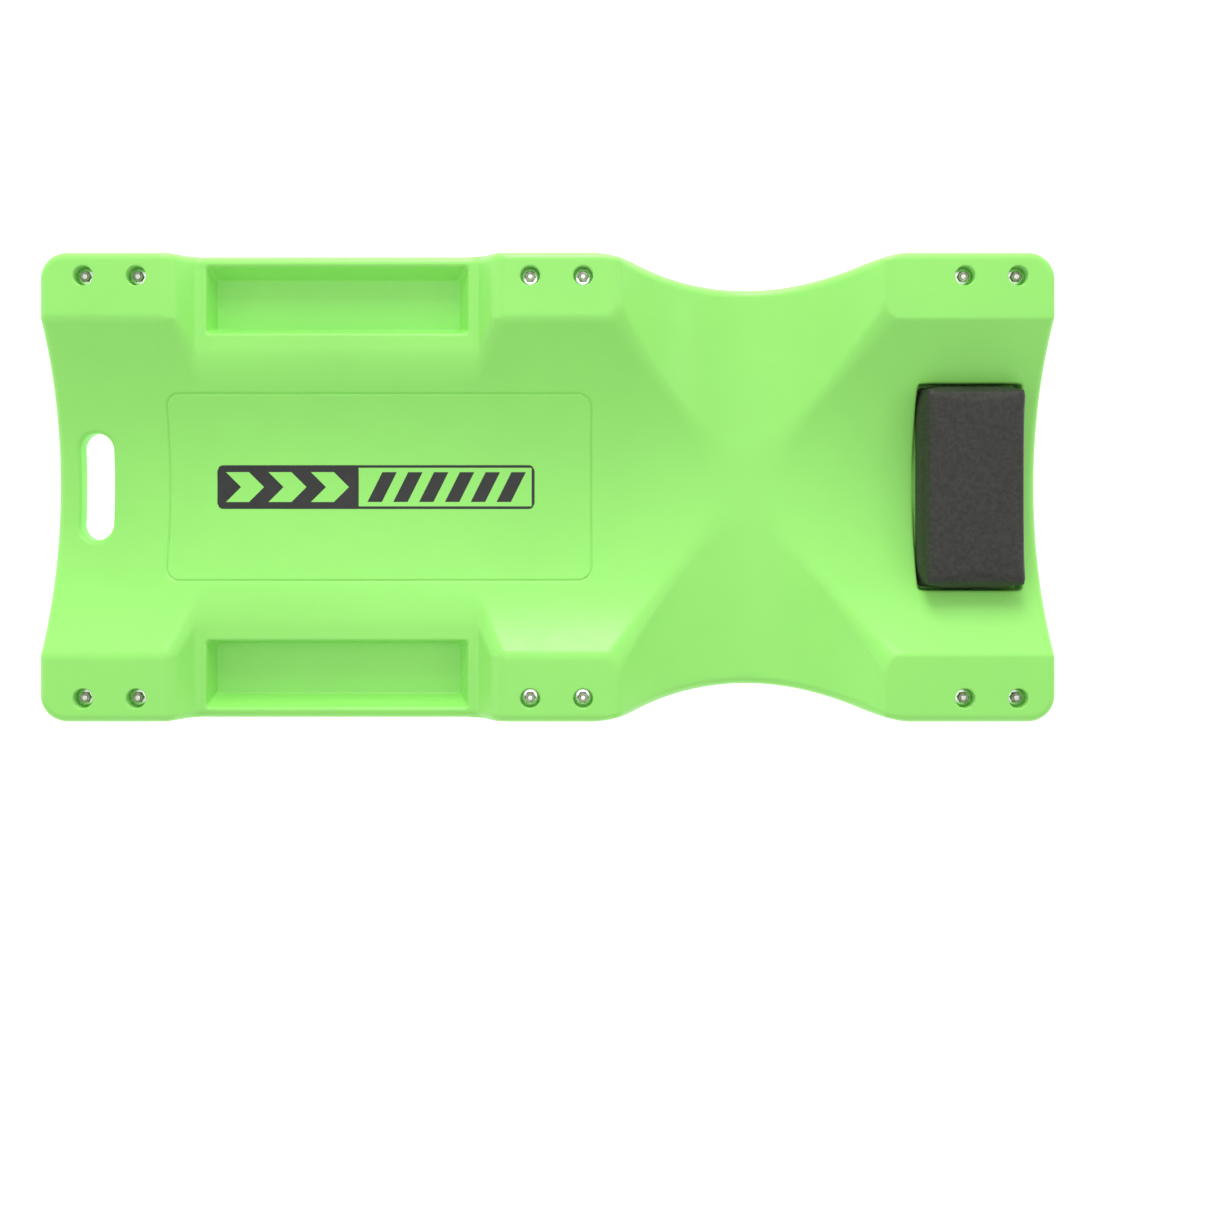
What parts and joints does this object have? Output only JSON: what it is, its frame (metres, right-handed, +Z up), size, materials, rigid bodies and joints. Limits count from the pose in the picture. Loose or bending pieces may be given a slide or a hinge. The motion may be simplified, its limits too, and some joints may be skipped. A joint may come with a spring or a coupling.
{
  "type": "mechanics creeper",
  "caption": "Low moulded board on swivel casters that a person lies on to roll under a vehicle, with tool trays, a padded headrest and a carrying slot.",
  "frame": {"origin": "on the floor, under the middle of the board's length and width", "axes": "+X from the foot end to the head end, +Y to the left as seen from the foot end, +Z up"},
  "size_m": [1.016, 0.47, 0.1143],
  "materials": {
    "deck_plastic": "semi-gloss moulded polyethylene, lime green",
    "decal_print": "printed film",
    "headrest_vinyl": "black grained vinyl",
    "headrest_foam": "open-cell foam",
    "headrest_board": "raw hardboard",
    "zinc_steel": "pressed steel, zinc plated",
    "bright_zinc": "bright zinc plate",
    "ball_steel": "polished and greased",
    "wheel_plastic": "satin moulded polypropylene",
    "wheel_tread": "satin hard tread"
  },
  "bodies": {
    "deck": {"deck_shell": "deck_plastic", "body_decal": "decal_print", "headrest_cover": "headrest_vinyl", "headrest_foam": "headrest_foam", "headrest_board": "headrest_board", "headrest_screws": "zinc_steel", "caster_studs": "bright_zinc", "stud_nuts": "bright_zinc", "caster_foot_left_plate": "zinc_steel", "caster_foot_left_kingpin": "zinc_steel", "caster_foot_right_plate": "zinc_steel", "caster_foot_right_kingpin": "zinc_steel", "caster_mid_left_plate": "zinc_steel", "caster_mid_left_kingpin": "zinc_steel", "caster_mid_right_plate": "zinc_steel", "caster_mid_right_kingpin": "zinc_steel", "caster_head_left_plate": "zinc_steel", "caster_head_left_kingpin": "zinc_steel", "caster_head_right_plate": "zinc_steel", "caster_head_right_kingpin": "zinc_steel"},
    "caster_foot_left_swivel": {"caster_foot_left_fork": "zinc_steel", "caster_foot_left_balls": "ball_steel", "caster_foot_left_axle": "bright_zinc", "caster_foot_left_sleeve": "zinc_steel"},
    "caster_foot_left_roller": {"caster_foot_left_wheel": "wheel_plastic", "caster_foot_left_tyre": "wheel_tread"},
    "caster_foot_right_swivel": {"caster_foot_right_fork": "zinc_steel", "caster_foot_right_balls": "ball_steel", "caster_foot_right_axle": "bright_zinc", "caster_foot_right_sleeve": "zinc_steel"},
    "caster_foot_right_roller": {"caster_foot_right_wheel": "wheel_plastic", "caster_foot_right_tyre": "wheel_tread"},
    "caster_mid_left_swivel": {"caster_mid_left_fork": "zinc_steel", "caster_mid_left_balls": "ball_steel", "caster_mid_left_axle": "bright_zinc", "caster_mid_left_sleeve": "zinc_steel"},
    "caster_mid_left_roller": {"caster_mid_left_wheel": "wheel_plastic", "caster_mid_left_tyre": "wheel_tread"},
    "caster_mid_right_swivel": {"caster_mid_right_fork": "zinc_steel", "caster_mid_right_balls": "ball_steel", "caster_mid_right_axle": "bright_zinc", "caster_mid_right_sleeve": "zinc_steel"},
    "caster_mid_right_roller": {"caster_mid_right_wheel": "wheel_plastic", "caster_mid_right_tyre": "wheel_tread"},
    "caster_head_left_swivel": {"caster_head_left_fork": "zinc_steel", "caster_head_left_balls": "ball_steel", "caster_head_left_axle": "bright_zinc", "caster_head_left_sleeve": "zinc_steel"},
    "caster_head_left_roller": {"caster_head_left_wheel": "wheel_plastic", "caster_head_left_tyre": "wheel_tread"},
    "caster_head_right_swivel": {"caster_head_right_fork": "zinc_steel", "caster_head_right_balls": "ball_steel", "caster_head_right_axle": "bright_zinc", "caster_head_right_sleeve": "zinc_steel"},
    "caster_head_right_roller": {"caster_head_right_wheel": "wheel_plastic", "caster_head_right_tyre": "wheel_tread"}
  },
  "joints": [
    {"name": "caster_foot_left_swivel_turn", "type": "hinge", "parent": "deck", "child": "caster_foot_left_swivel", "pos_m": [-0.437, 0.211, 0.0838], "axis": [0, 0, 1], "continuous": true},
    {"name": "caster_foot_left_wheel_spin", "type": "hinge", "parent": "caster_foot_left_swivel", "child": "caster_foot_left_roller", "pos_m": [-0.415, 0.211, 0.0375], "axis": [0, 1, 0], "continuous": true},
    {"name": "caster_foot_right_swivel_turn", "type": "hinge", "parent": "deck", "child": "caster_foot_right_swivel", "pos_m": [-0.437, -0.211, 0.0838], "axis": [0, 0, 1], "continuous": true},
    {"name": "caster_foot_right_wheel_spin", "type": "hinge", "parent": "caster_foot_right_swivel", "child": "caster_foot_right_roller", "pos_m": [-0.415, -0.211, 0.0375], "axis": [0, 1, 0], "continuous": true},
    {"name": "caster_mid_left_swivel_turn", "type": "hinge", "parent": "deck", "child": "caster_mid_left_swivel", "pos_m": [0.009, 0.211, 0.0838], "axis": [0, 0, 1], "continuous": true},
    {"name": "caster_mid_left_wheel_spin", "type": "hinge", "parent": "caster_mid_left_swivel", "child": "caster_mid_left_roller", "pos_m": [0.031, 0.211, 0.0375], "axis": [0, 1, 0], "continuous": true},
    {"name": "caster_mid_right_swivel_turn", "type": "hinge", "parent": "deck", "child": "caster_mid_right_swivel", "pos_m": [0.009, -0.211, 0.0838], "axis": [0, 0, 1], "continuous": true},
    {"name": "caster_mid_right_wheel_spin", "type": "hinge", "parent": "caster_mid_right_swivel", "child": "caster_mid_right_roller", "pos_m": [0.031, -0.211, 0.0375], "axis": [0, 1, 0], "continuous": true},
    {"name": "caster_head_left_swivel_turn", "type": "hinge", "parent": "deck", "child": "caster_head_left_swivel", "pos_m": [0.443, 0.211, 0.0838], "axis": [0, 0, 1], "continuous": true},
    {"name": "caster_head_left_wheel_spin", "type": "hinge", "parent": "caster_head_left_swivel", "child": "caster_head_left_roller", "pos_m": [0.465, 0.211, 0.0375], "axis": [0, 1, 0], "continuous": true},
    {"name": "caster_head_right_swivel_turn", "type": "hinge", "parent": "deck", "child": "caster_head_right_swivel", "pos_m": [0.443, -0.211, 0.0838], "axis": [0, 0, 1], "continuous": true},
    {"name": "caster_head_right_wheel_spin", "type": "hinge", "parent": "caster_head_right_swivel", "child": "caster_head_right_roller", "pos_m": [0.465, -0.211, 0.0375], "axis": [0, 1, 0], "continuous": true}
  ]
}
